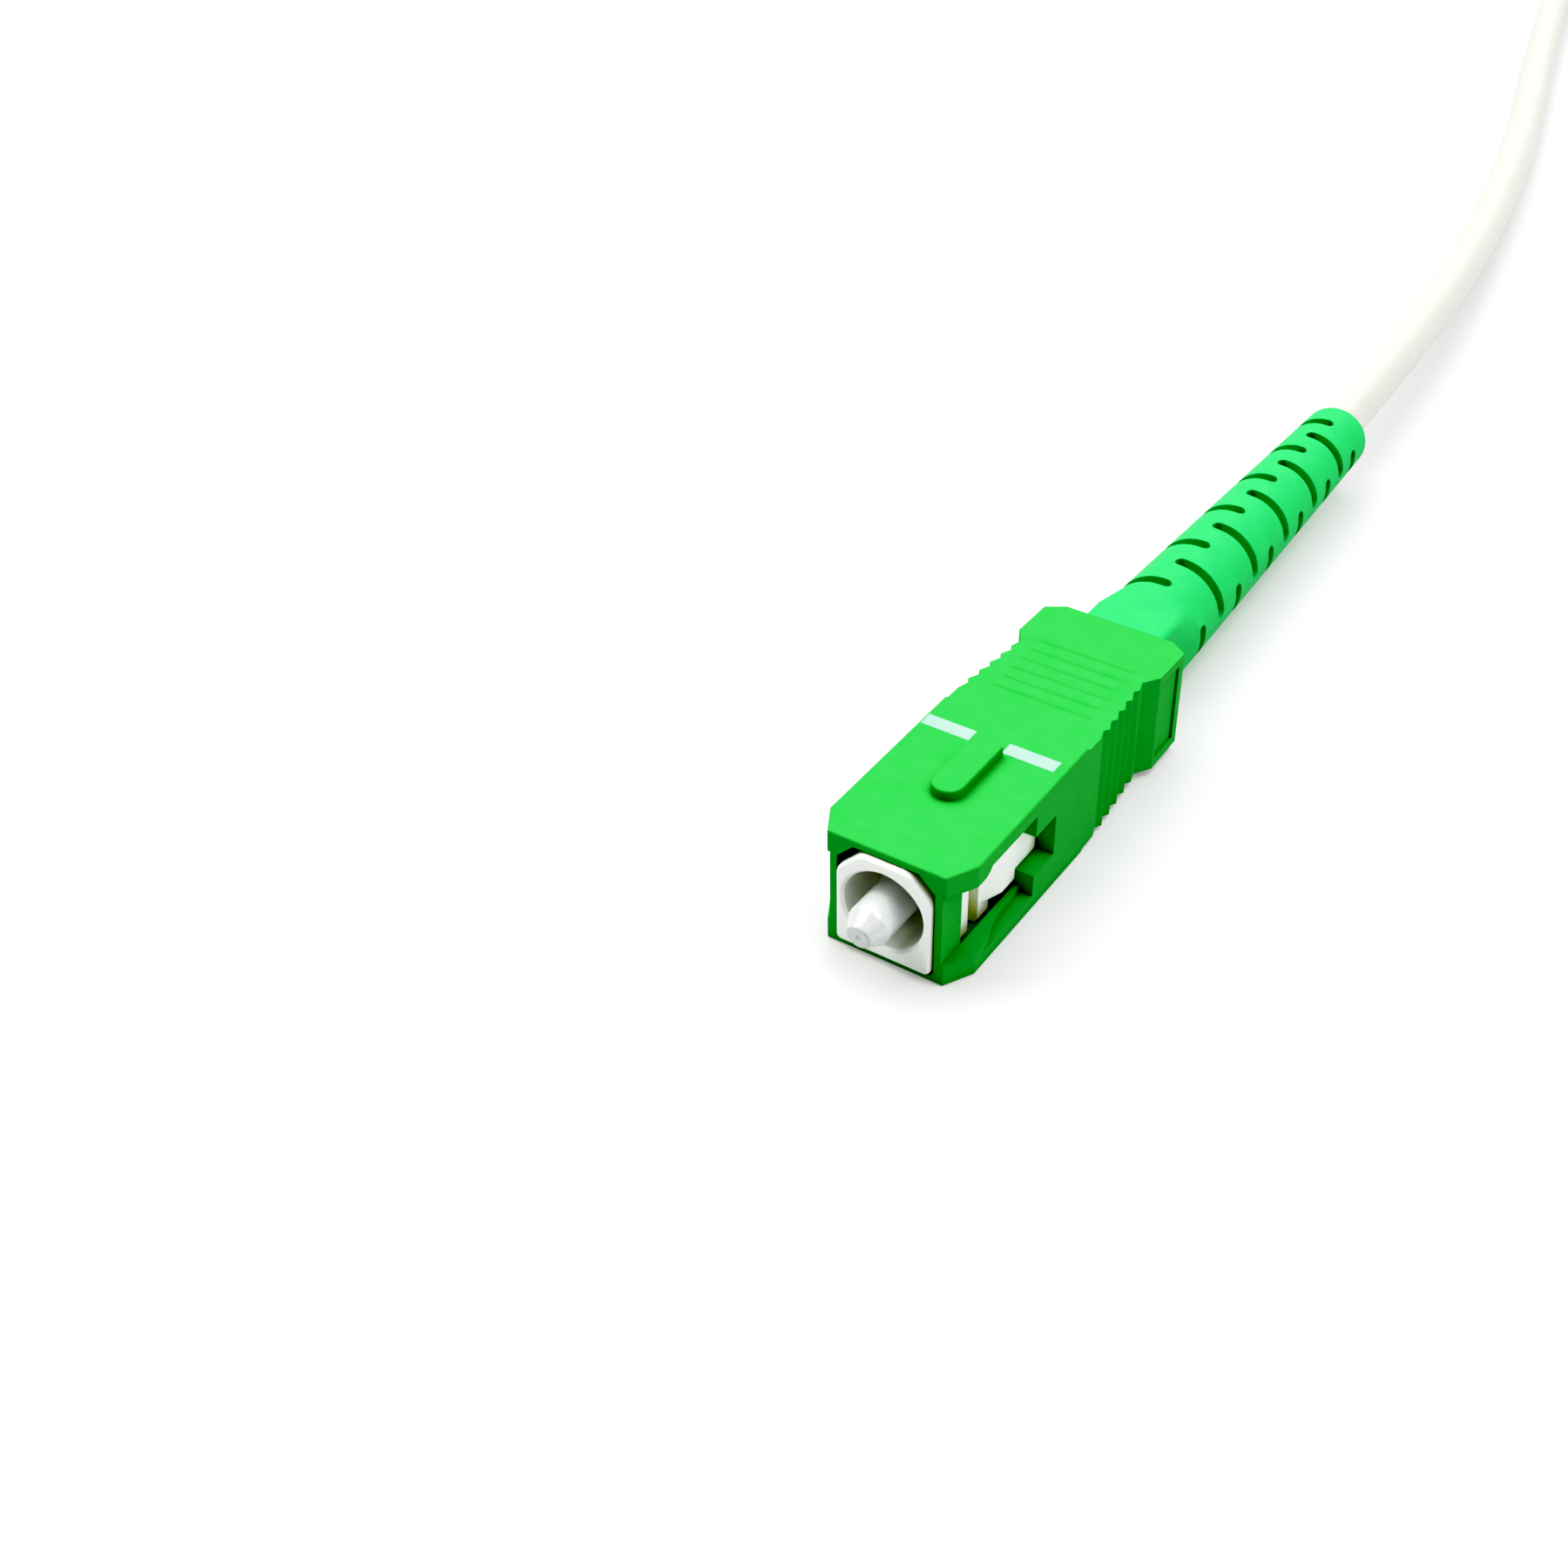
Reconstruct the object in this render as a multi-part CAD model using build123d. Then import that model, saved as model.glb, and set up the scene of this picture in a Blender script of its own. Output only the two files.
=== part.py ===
from build123d import *
import math
import os

# Frame: millimetres, +Z up, +Y towards the cable, Z = 0 is the surface that the connector lies on.
# The origin is the middle of the grip's flat underside. A station is a length along Y from the
# front edge of the grip, and heights and widths are taken from the optical axis.

# Clearances
SLIDE_GAP = 0.10            # grip on frame, latch blocks in their slots
FIT_GAP = 0.05              # loose fits, and sleeves over stems
BORE_GAP = 0.02             # ferrule in its holder, fibre in its bore
CABLE_GAP = 0.14            # cable in the boot's tail, which it leaves in a slight bend

# Grip: outline
GRIP_WIDTH = 9.0
GRIP_HEIGHT = 7.4
GRIP_LENGTH = 25.92
GRIP_TRAVEL = 2.0           # how far the grip slides back on the frame
FLAT_LENGTH = 13.4          # front part of full height
NOSE_CHAMFER_X = 0.93
NOSE_CHAMFER_Y = 1.74
STEP_DEPTH = 0.25           # drop of top and underside behind the flat part
STEP_RUN = 0.40
REAR_DROP = 0.60            # drop of top and underside at the rear end
FLARE_RISE = 0.08           # the flare is this much wider than the front, each side
FLARE_RUN = 1.0
FLARE_LENGTH = 3.07
TAIL_CHAMFER_X = 1.11
TAIL_CHAMFER_Y = 0.75
EDGE_ROUND = 0.12

# Grip: ribs, key and side panels
RIB_PITCH = 1.08
SIDE_RIB_RISE = 0.34        # run of a side rib's steep front
SIDE_RIB_DEPTH = 0.22
SIDE_RIB_TAPER = 0.09       # each side rib stands this much further in than the one before it
TOP_RIB_LAG = 0.48          # first top rib behind the first side rib
TOP_RIB_RISE = 0.20
TOP_RIB_HEIGHT = 0.09
TOP_RIB_LENGTH = 6.8
TOP_RIB_FADE = 0.55         # over which each end of a top rib slopes away
KEY_WIDTH = 1.86
KEY_HEIGHT = 0.65
KEY_START = 5.3
KEY_LENGTH = 5.1
PANEL_INSET = 0.25          # panel's front edge behind the flare's
PANEL_RIM = 0.57            # rim left behind the panel
PANEL_MARGIN = 1.15         # wall left over and under the panel
PANEL_DEPTH = 0.16

# Grip: side recess with its cams, window and latch slot
SIDE_RECESS = 1.10          # depth of the nose opening
SIDE_WALL = 0.42
FLANGE = 1.36               # height of the nose flanges
POCKET_FLOOR = 0.94         # wall under the pocket behind the cams
POCKET_END = 7.88           # front faces of the blocks behind the pocket
POST_END = 2.05             # rear edge of the front post
CAM_START = 2.30
CAM_CURVE_END = 5.25
CAM_CURVE_DEPTH = 0.64
CAM_END_DEPTH = 0.80
SLOT_END = 10.11
SLOT_HALF = 1.36
MOUTH_CHAMFER = 1.0
ROOF = 0.42                 # wall over and under the frame

# Plug frame
FRAME_NOSE = 0.30           # how far the frame stands out of the grip
FRAME_CHAMFER = 1.45
FRAME_CHAMFER_ROUND = 0.90
FRAME_ROUND = 0.35
FRAME_EDGE_ROUND = 0.22
FRAME_REAR_SIZE = 5.2
FRAME_REAR_WALL = 0.40
SOCKET_WALL = 0.46
SOCKET_DEPTH = 4.0
SOCKET_LEAD = 0.18
BULKHEAD = 1.05
GROOVE_DEPTH = 0.55         # cut round the sides of the bulkhead
RELIEF_START = 5.90         # the sides are cut back from here, so that the latches stand free
RELIEF_DEPTH = 0.45
LATCH_NOSE = 5.03
LATCH_RAMP_END = 6.45
LATCH_SIDE_GAP = 0.39       # latch head in the nose opening
SNAP_INSET = 3.6            # snap window's front edge ahead of the frame's rear end
SNAP_LENGTH = 1.5
SNAP_HALF_HEIGHT = 1.0

# Ferrule and its holder
FERRULE_RADIUS = 1.25
FERRULE_LENGTH = 10.5
FERRULE_REACH = 2.70        # how far the ferrule stands out of the grip
FERRULE_CONE = 1.10
FERRULE_CONE_ROUND = 0.50   # where the cone meets the cylinder
FERRULE_END_RADIUS = 0.66
FERRULE_END_ROUND = 0.15    # where the cone meets the end face
FERRULE_ANGLE = 8.0         # angle polish of the end face, degrees
FIBRE_RADIUS = 0.0625
COLLAR_LENGTH = 1.85
HOLDER_WALL = 0.33
HOLDER_NECK = 1.30          # between the ferrule's end and the guide tube's
HOLDER_ROOM = 3.4           # behind the holder, for the ferrule's travel
NOTCHES = 4
NOTCH_WIDTH = 0.70
NOTCH_DEPTH = 0.40
BUFFER_RADIUS = 0.45
BUFFER_INSET = 1.2          # buffer's rear end inside the stem
GUIDE_WALL = 0.25
GUIDE_SOCKET = 1.5          # depth of the guide tube in the holder

# Spring
SPRING_GAP = 0.05           # wire to bore, and wire to holder
SPRING_TURNS = 5.0
WIRE_SIDES = 8              # the wire is drawn with flats, which keeps the mesh light

# Rear body, yarn and crimp sleeve
PLUG_DEPTH = 5.6            # rear body inside the frame
STOP_THICKNESS = 1.0
STEM_RADIUS = 1.75
STEM_LENGTH = 6.4
STEM_GROOVES = 3
STEM_GROOVE_DEPTH = 0.12
STEM_WALL = 0.70
YARN_THICKNESS = 0.16
YARN_INSET = 0.6
YARN_OVERHANG = 0.5
SLEEVE_WALL = 0.20
SLEEVE_INSET = 0.3
SLEEVE_TAPER = 0.6
SLEEVE_NECK_LENGTH = 2.6
JACKET_INSET = 1.0          # jacket's cut end behind the stem

# Strain boot
BOOT_ROOT_ROUND = 0.40
BOOT_ROOT_SPARE = 0.38      # square root left behind the grip when it is pulled back
BOOT_BLEND = 2.7            # length over which the square turns round
BOOT_RADIUS = 3.06
BOOT_TAIL = 28.2
BOOT_END_RADIUS = 2.22
BOOT_END_ROUND = 0.55
RING_COUNT = 11
RING_LEAD = 0.5
RING_CLOSING = 0.026        # shortens the pitch from ring to ring
RING_WIDTH = 0.80
RING_WEB = 0.14             # wall left under a slot
LONG_SLOT_ANGLE = 118.0
LONG_SLOT_CENTRE = 137.0
SHORT_SLOT_ANGLE = 99.0
SHORT_SLOT_CENTRE = 48.0

# Cable and its coil
CABLE_RADIUS = 1.5
FIRST_TURN = 10.8           # first turn of the route behind the boot
LAID_ROUTE = [(-5.7, 105.1, 1.5), (-16.5, 145.3, 1.5), (-23.3, 178.4, 1.98)]
TURN_SHARE = 0.45           # share of the shorter run that a rounded turn takes
COIL_CENTRE = (-5.6, 182.0)
COIL_MEAN_RADIUS = 15.0
COIL_ROWS = 3
COIL_PITCH = 3.05
TIE_THICKNESS = 0.40
TIE_ARC = 17.0              # degrees of the coil that the tie covers
TIE_ANGLE = 20.0

# Grip: places that follow
FRONT = -FLAT_LENGTH / 2
AXIS = GRIP_HEIGHT / 2
HALF_WIDTH = GRIP_WIDTH / 2
FLARE_HALF = HALF_WIDTH + FLARE_RISE
FLARE_END = GRIP_LENGTH - TAIL_CHAMFER_Y
FLARE_START = FLARE_END - FLARE_LENGTH
WAIST_END = FLARE_START - FLARE_RUN
TOP_RIBS = int((WAIST_END - FLAT_LENGTH - STEP_RUN) / RIB_PITCH)
SIDE_RIBS = TOP_RIBS - 1
SIDE_RIB_START = WAIST_END - SIDE_RIBS * RIB_PITCH
TOP_RIB_START = SIDE_RIB_START + TOP_RIB_LAG
WALL_OUTER = HALF_WIDTH - SIDE_RECESS
WALL_INNER = WALL_OUTER - SIDE_WALL
FLANGE_HALF = AXIS - FLANGE
POCKET_HALF = AXIS - POCKET_FLOOR
CAVITY_HALF_HEIGHT = AXIS - ROOF
REAR_CAVITY = FRAME_REAR_SIZE + 2 * SLIDE_GAP

# Frame: places that follow
FRAME_START = -FRAME_NOSE
FRAME_WIDTH = 2 * (WALL_INNER - SLIDE_GAP)
FRAME_HEIGHT = 2 * (CAVITY_HALF_HEIGHT - SLIDE_GAP)
FRAME_FRONT_END = FLAT_LENGTH - 3 * SLIDE_GAP
SOCKET_RADIUS = FRAME_WIDTH / 2 - SOCKET_WALL
SOCKET_END = FRAME_START + SOCKET_DEPTH
BULKHEAD_END = SOCKET_END + BULKHEAD
SPRING_BORE_RADIUS = FRAME_REAR_SIZE / 2 - FRAME_REAR_WALL
LATCH_HEAD_HALF = FLANGE_HALF - LATCH_SIDE_GAP
LATCH_SHOULDER = POCKET_END - FIT_GAP
LATCH_END = SLOT_END - SLIDE_GAP
LATCH_NECK_HALF = SLOT_HALF - SLIDE_GAP

# Ferrule, rear body and sleeve: places that follow, from the ferrule's tip backwards
FERRULE_TIP = -FERRULE_REACH
FERRULE_END = FERRULE_TIP + FERRULE_LENGTH
POLISH_DROP = FERRULE_END_RADIUS * math.tan(math.radians(FERRULE_ANGLE))
COLLAR_RADIUS = SPRING_BORE_RADIUS - SLIDE_GAP
COLLAR_END = BULKHEAD_END + COLLAR_LENGTH
HOLDER_RADIUS = FERRULE_RADIUS + BORE_GAP + HOLDER_WALL
GUIDE_START = FERRULE_END + HOLDER_NECK
HOLDER_END = GUIDE_START + GUIDE_SOCKET
GUIDE_INNER = BUFFER_RADIUS + SLIDE_GAP
GUIDE_RADIUS = GUIDE_INNER + GUIDE_WALL
SPRING_MEAN_RADIUS = (SPRING_BORE_RADIUS + HOLDER_RADIUS) / 2
SPRING_WIRE = SPRING_BORE_RADIUS - HOLDER_RADIUS - 2 * SPRING_GAP
PLUG_START = HOLDER_END + HOLDER_ROOM
FRAME_END = PLUG_START + PLUG_DEPTH
SNAP_START = FRAME_END - SNAP_INSET
SNAP_END = SNAP_START + SNAP_LENGTH
STOP_END = FRAME_END + STOP_THICKNESS
STEM_END = STOP_END + STEM_LENGTH
STEM_BORE_RADIUS = STEM_RADIUS - STEM_WALL
YARN_START = STOP_END + YARN_INSET
YARN_END = STEM_END + YARN_OVERHANG
YARN_INNER = STEM_RADIUS + BORE_GAP
YARN_OUTER = YARN_INNER + YARN_THICKNESS
SLEEVE_START = STOP_END + SLEEVE_INSET
SLEEVE_SHOULDER = YARN_END + SLIDE_GAP
SLEEVE_NECK = SLEEVE_SHOULDER + SLEEVE_TAPER
SLEEVE_END = SLEEVE_NECK + SLEEVE_NECK_LENGTH
SLEEVE_INNER = YARN_OUTER + BORE_GAP
SLEEVE_OUTER = SLEEVE_INNER + SLEEVE_WALL
NECK_INNER = CABLE_RADIUS + BORE_GAP
NECK_OUTER = NECK_INNER + SLEEVE_WALL

# Boot and cable: places that follow
BOOT_ROOT_END = GRIP_LENGTH + GRIP_TRAVEL + BOOT_ROOT_SPARE
BOOT_ROUND_START = BOOT_ROOT_END + BOOT_BLEND
BOOT_END = BOOT_ROUND_START + BOOT_TAIL
BOOT_BORE_RADIUS = CABLE_RADIUS + CABLE_GAP
RING_START = BOOT_ROUND_START + RING_LEAD
RING_PITCH = BOOT_TAIL / (RING_COUNT - 0.75)
RING_FLOOR_RADIUS = BOOT_BORE_RADIUS + RING_WEB
ROUTE = [
    (0, FRONT + STEM_END + JACKET_INSET, AXIS),
    (0, FRONT + BOOT_END + FIRST_TURN, AXIS),
    *LAID_ROUTE,
]
COIL_HALF_SECTION = COIL_ROWS * COIL_PITCH / 2
COIL_BASE = TIE_THICKNESS + FIT_GAP


def move_to_axis(shape):
    """A shape drawn on the axis, with stations as Y, moved to its place in the part's frame."""
    return Pos(0, FRONT, AXIS) * shape


def turned(profile):
    """A solid of revolution about the axis from (station, radius) points."""
    points = [(radius, station) for station, radius in profile]
    return revolve(Polygon(*points, align=None), Axis.Y)


def rod(start, stop, radius):
    """A plain round rod on the axis."""
    return turned([(start, 0), (start, radius), (stop, radius), (stop, 0)])


def tube(start, stop, inner, outer):
    """A plain round tube on the axis."""
    return turned([(start, inner), (start, outer), (stop, outer), (stop, inner)])


def rim(body, station):
    """The widest circular edge of a turned body at a station."""
    circles = body.edges().filter_by(GeomType.CIRCLE).filter_by_position(Axis.Y, station, station)
    return circles.sort_by(SortBy.RADIUS)[-1]


def station_plane(station):
    """A plane across the axis whose own Y is up."""
    return Plane(origin=(0, station, 0), x_dir=(-1, 0, 0), z_dir=(0, 1, 0))


def prism(section, start, stop):
    """A section drawn in width and height, extruded along the axis between two stations."""
    return extrude(station_plane(start) * section, stop - start)


def slab(outline, half_height):
    """An outline in half widths and stations, extruded up and down by half_height."""
    return extrude(Polygon(*outline, align=None), half_height, both=True)


def side_prism(outline, half_width):
    """An outline in stations and heights, extruded to both sides by half_width."""
    return extrude(Plane.YZ * Polygon(*outline, align=None), half_width, both=True)


def with_mirror(upper):
    """An upper outline in stations and heights, closed by its mirror image below the axis."""
    return upper + [(station, -height) for station, height in reversed(upper)]


def both_sides(shape):
    """The shape and its mirror image across the middle plane."""
    return shape + mirror(shape, Plane.YZ)


def box_between(x, y, z):
    """A box from its lower and upper X, station and height."""
    size = (x[1] - x[0], y[1] - y[0], z[1] - z[0])
    centre = ((x[0] + x[1]) / 2, (y[0] + y[1]) / 2, (z[0] + z[1]) / 2)
    return Pos(*centre) * Box(*size)


def chamfered_section(width, height, chamfer_size, round_size):
    """A rectangle with its upper corners chamfered and its lower ones rounded."""
    corners = Rectangle(width, height).vertices().sort_by(Axis.Y)
    section = chamfer(corners[2:], chamfer_size)
    return fillet(section.vertices().sort_by(Axis.Y)[:2], round_size)


def rear_half_height(station):
    """Half height of the grip's tapered rear part at a station."""
    start = FLAT_LENGTH + STEP_RUN
    share = (station - start) / (GRIP_LENGTH - start)
    return AXIS - STEP_DEPTH - share * (REAR_DROP - STEP_DEPTH)


def grip_plan():
    """Right half of the grip's outline seen from above, from the nose to the tail, with its ribs."""
    points = [(HALF_WIDTH - NOSE_CHAMFER_X, 0), (HALF_WIDTH, NOSE_CHAMFER_Y)]
    points.append((HALF_WIDTH, SIDE_RIB_START - RIB_PITCH + SIDE_RIB_RISE))
    for index in range(SIDE_RIBS):
        crest = HALF_WIDTH - index * SIDE_RIB_TAPER
        station = SIDE_RIB_START + index * RIB_PITCH
        points += [(crest - SIDE_RIB_DEPTH, station), (crest, station + SIDE_RIB_RISE)]
    points += [(crest - SIDE_RIB_DEPTH, WAIST_END), (FLARE_HALF, FLARE_START)]
    points += [(FLARE_HALF, FLARE_END), (FLARE_HALF - TAIL_CHAMFER_X, GRIP_LENGTH)]
    return points


def grip_block():
    """The grip's outer shape: the plan cut to the side profile, its flat part's edges rounded."""
    right = grip_plan()
    left = [(-x, y) for x, y in reversed(right)]
    step = (FLAT_LENGTH + STEP_RUN, AXIS - STEP_DEPTH)
    upper = [(0, AXIS), (FLAT_LENGTH, AXIS), step, (GRIP_LENGTH, AXIS - REAR_DROP)]
    block = slab(right + left, AXIS) & side_prism(with_mirror(upper), GRIP_WIDTH)
    edges = block.edges().filter_by(Axis.Z).filter_by_position(Axis.Y, 0, NOSE_CHAMFER_Y)
    for face in (block.faces().sort_by(Axis.Z)[0], block.faces().sort_by(Axis.Z)[-1]):
        edges += face.edges().sort_by(Axis.Y)[:-1]
    return fillet(edges, EDGE_ROUND)


def rib_section(side, rise):
    """Section of the top ribs at a width from the middle, sunk in the grip if rise is negative."""
    stop = TOP_RIB_START + TOP_RIBS * RIB_PITCH
    root = rear_half_height(stop) - ROOF / 2
    outline = [(stop, root), (TOP_RIB_START, root)]
    for index in range(TOP_RIBS):
        foot = TOP_RIB_START + index * RIB_PITCH
        crest = foot + TOP_RIB_RISE
        outline.append((foot, rear_half_height(foot) + min(rise, 0)))
        outline.append((crest, rear_half_height(crest) + rise))
    outline.append((stop, rear_half_height(stop) + min(rise, 0)))
    return Plane.YZ.offset(side) * Polygon(*outline, align=None)


def top_ribs():
    """The low cross ribs on the grip's top and underside: steep front, long back, faded ends."""
    half = TOP_RIB_LENGTH / 2
    full = half - TOP_RIB_FADE
    ends = [(-half, -BORE_GAP), (-full, TOP_RIB_HEIGHT), (full, TOP_RIB_HEIGHT), (half, -BORE_GAP)]
    ribs = loft([rib_section(side, rise) for side, rise in ends], ruled=True)
    return ribs + mirror(ribs, Plane.XY)


def key():
    """The polarity key on the grip's top, round at its front."""
    radius = KEY_WIDTH / 2
    middle = KEY_START + (radius + KEY_LENGTH) / 2
    outline = Pos(0, middle) * Rectangle(KEY_WIDTH, KEY_LENGTH - radius)
    outline += Pos(0, KEY_START + radius) * Circle(radius)
    bar = Pos(0, 0, AXIS - ROOF / 2) * extrude(outline, KEY_HEIGHT + ROOF / 2)
    return fillet(bar.faces().sort_by(Axis.Z)[-1].edges(), EDGE_ROUND)


def side_recess():
    """What is cut from the grip's right side: nose opening, cam pocket, window, slot and panel."""
    beyond = GRIP_WIDTH
    opening = box_between((WALL_OUTER, beyond), (-1, POCKET_END), (-FLANGE_HALF, FLANGE_HALF))
    rim = (HALF_WIDTH, CAM_START)
    turn = (HALF_WIDTH - CAM_CURVE_DEPTH, CAM_CURVE_END)
    last = (HALF_WIDTH - CAM_END_DEPTH, POCKET_END)
    curve = Spline(rim, turn, tangents=((0, 1), (last[0] - turn[0], last[1] - turn[1])))
    rest = Polyline(turn, last, (beyond, POCKET_END), (beyond, CAM_START), rim)
    pocket = extrude(make_face(curve + rest), POCKET_HALF, both=True)
    window = box_between(
        (0, WALL_OUTER), (POST_END, POCKET_END), (-CAVITY_HALF_HEIGHT, CAVITY_HALF_HEIGHT)
    )
    slot = box_between((0, beyond), (POST_END, SLOT_END), (-SLOT_HALF, SLOT_HALF))
    panel_half = AXIS - PANEL_MARGIN
    panel = box_between(
        (FLARE_HALF - PANEL_DEPTH, beyond),
        (FLARE_START + PANEL_INSET, FLARE_END - PANEL_RIM),
        (-panel_half, panel_half),
    )
    return opening + pocket + window + slot + panel


def grip_cavity():
    """The passage through the grip: a tall front part for the frame and a square rear part."""
    mouth = chamfered_section(2 * WALL_INNER, 2 * CAVITY_HALF_HEIGHT, MOUTH_CHAMFER, FRAME_ROUND)
    rear = RectangleRounded(REAR_CAVITY, REAR_CAVITY, BOOT_ROOT_ROUND)
    return prism(mouth, -1, FLAT_LENGTH) + prism(rear, FLAT_LENGTH - 1, GRIP_LENGTH + 1)


def grip_housing():
    """Push-pull grip with key, ribs, side recesses and the passage for the frame and boot."""
    body = grip_block() + top_ribs() + key()
    return body - both_sides(side_recess()) - grip_cavity()


def latch_block():
    """Right latch block of the frame: ramped nose, wide head and the neck that rides in the slot."""
    root = FRAME_WIDTH / 2 - RELIEF_DEPTH - SLIDE_GAP
    ramp = [(root, LATCH_NOSE), (FRAME_WIDTH / 2, LATCH_NOSE), (WALL_OUTER, LATCH_RAMP_END)]
    ramp += [(WALL_OUTER, LATCH_END), (root, LATCH_END)]
    upper = [(LATCH_NOSE, LATCH_HEAD_HALF), (LATCH_SHOULDER, LATCH_HEAD_HALF)]
    upper += [(LATCH_SHOULDER, LATCH_NECK_HALF), (LATCH_END, LATCH_NECK_HALF)]
    return slab(ramp, LATCH_HEAD_HALF) & side_prism(with_mirror(upper), GRIP_WIDTH)


def frame_side_cuts():
    """What is cut from the frame's right side: the groove at the bulkhead and the latch relief."""
    side = FRAME_WIDTH / 2
    height = (-FRAME_HEIGHT, FRAME_HEIGHT)
    groove = box_between((side - GROOVE_DEPTH, FRAME_WIDTH), (SOCKET_END, BULKHEAD_END), height)
    relief = box_between((side - RELIEF_DEPTH, FRAME_WIDTH), (RELIEF_START, LATCH_END), height)
    return groove + relief


def frame_bores():
    """Socket, ferrule hole and spring bore of the frame."""
    hole = FERRULE_RADIUS + SLIDE_GAP
    return turned([
        (FRAME_START - 1, 0),
        (FRAME_START - 1, SOCKET_RADIUS + SOCKET_LEAD),
        (FRAME_START, SOCKET_RADIUS + SOCKET_LEAD),
        (FRAME_START + SOCKET_LEAD, SOCKET_RADIUS),
        (SOCKET_END, SOCKET_RADIUS),
        (SOCKET_END, hole),
        (BULKHEAD_END, hole),
        (BULKHEAD_END, SPRING_BORE_RADIUS),
        (FRAME_END + 1, SPRING_BORE_RADIUS),
        (FRAME_END + 1, 0),
    ])


def plug_frame():
    """White inner housing: socket, bulkhead, spring bore, latch blocks and snap windows."""
    section = chamfered_section(FRAME_WIDTH, FRAME_HEIGHT, FRAME_CHAMFER, FRAME_ROUND)
    section = fillet(section.vertices().sort_by(Axis.Y)[-4:], FRAME_CHAMFER_ROUND)
    front = prism(section, FRAME_START, FRAME_FRONT_END)
    front = fillet(front.faces().sort_by(Axis.Y)[0].edges(), FRAME_EDGE_ROUND)
    rear_section = RectangleRounded(FRAME_REAR_SIZE, FRAME_REAR_SIZE, BOOT_ROOT_ROUND)
    front = front - both_sides(frame_side_cuts()) + both_sides(latch_block())
    body = front + prism(rear_section, FRAME_FRONT_END - 1, FRAME_END)
    snap = box_between((0, FRAME_WIDTH), (SNAP_START, SNAP_END), (-SNAP_HALF_HEIGHT, SNAP_HALF_HEIGHT))
    return body - frame_bores() - both_sides(snap)


def ferrule():
    """Ceramic ferrule with its conical, angle-polished end and the fibre bore."""
    bore = FIBRE_RADIUS + BORE_GAP
    body = turned([
        (FERRULE_TIP, bore),
        (FERRULE_TIP, FERRULE_END_RADIUS),
        (FERRULE_TIP + FERRULE_CONE, FERRULE_RADIUS),
        (FERRULE_END, FERRULE_RADIUS),
        (FERRULE_END, bore),
    ])
    body = fillet(rim(body, FERRULE_TIP), FERRULE_END_ROUND)
    body = fillet(rim(body, FERRULE_TIP + FERRULE_CONE), FERRULE_CONE_ROUND)
    depth = FERRULE_CONE
    cutter = Pos(0, -depth / 2, 0) * Box(4 * FERRULE_RADIUS, depth, 4 * FERRULE_RADIUS)
    return body - Pos(0, FERRULE_TIP + POLISH_DROP, 0) * Rot(FERRULE_ANGLE, 0, 0) * cutter


def ferrule_flange():
    """Metal holder: notched collar, sleeve round the ferrule and the socket for the guide tube."""
    pocket = FERRULE_RADIUS + BORE_GAP
    neck = BUFFER_RADIUS + FIT_GAP
    socket = GUIDE_RADIUS + BORE_GAP
    body = turned([
        (BULKHEAD_END, pocket),
        (BULKHEAD_END, COLLAR_RADIUS),
        (COLLAR_END, COLLAR_RADIUS),
        (COLLAR_END, HOLDER_RADIUS),
        (HOLDER_END, HOLDER_RADIUS),
        (HOLDER_END, socket),
        (GUIDE_START, socket),
        (GUIDE_START, neck),
        (FERRULE_END, neck),
        (FERRULE_END, pocket),
    ])
    notch = Pos(COLLAR_RADIUS, BULKHEAD_END, 0) * Box(2 * NOTCH_DEPTH, COLLAR_LENGTH, NOTCH_WIDTH)
    for index in range(NOTCHES):
        body -= Rot(0, index * 360 / NOTCHES, 0) * notch
    return body


def coil_spring():
    """Compression spring between the flange's collar and the rear body."""
    start = COLLAR_END + SPRING_WIRE / 2
    length = PLUG_START - COLLAR_END - SPRING_WIRE
    path = Helix(length / SPRING_TURNS, length, SPRING_MEAN_RADIUS)
    section = Plane(path @ 0, z_dir=path % 0) * RegularPolygon(SPRING_WIRE / 2, WIRE_SIDES)
    return Pos(0, start, 0) * Rot(-90, 0, 0) * sweep(section, path, is_frenet=True)


def rear_body():
    """Metal stop behind the spring: snap tabs, square collar and the grooved crimp stem."""
    body = rod(PLUG_START, FRAME_END, SPRING_BORE_RADIUS - FIT_GAP)
    collar = RectangleRounded(FRAME_REAR_SIZE, FRAME_REAR_SIZE, BOOT_ROOT_ROUND)
    body += prism(collar, FRAME_END, STOP_END)
    tab_half = SNAP_HALF_HEIGHT - SLIDE_GAP
    tab = box_between(
        (0, FRAME_REAR_SIZE / 2 - FIT_GAP),
        (SNAP_START + SLIDE_GAP, SNAP_END - SLIDE_GAP),
        (-tab_half, tab_half),
    )
    body += both_sides(tab)
    pitch = (STEM_END - YARN_START) / STEM_GROOVES
    floor = STEM_RADIUS - STEM_GROOVE_DEPTH
    stem = [(STOP_END, 0), (STOP_END, STEM_RADIUS)]
    for index in range(STEM_GROOVES):
        start = YARN_START + (index + 0.3) * pitch
        stop = start + 0.4 * pitch
        stem += [(start, STEM_RADIUS), (start, floor), (stop, floor), (stop, STEM_RADIUS)]
    stem += [(STEM_END, STEM_RADIUS), (STEM_END, 0)]
    return body + turned(stem) - rod(PLUG_START - 1, STEM_END + 1, STEM_BORE_RADIUS)


def crimp_sleeve():
    """Stepped sleeve: wide over yarn and stem, narrow on the cable jacket."""
    return turned([
        (SLEEVE_START, SLEEVE_INNER),
        (SLEEVE_START, SLEEVE_OUTER),
        (SLEEVE_SHOULDER, SLEEVE_OUTER),
        (SLEEVE_NECK, NECK_OUTER),
        (SLEEVE_END, NECK_OUTER),
        (SLEEVE_END, NECK_INNER),
        (SLEEVE_NECK, NECK_INNER),
        (SLEEVE_SHOULDER, SLEEVE_INNER),
    ])


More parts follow.
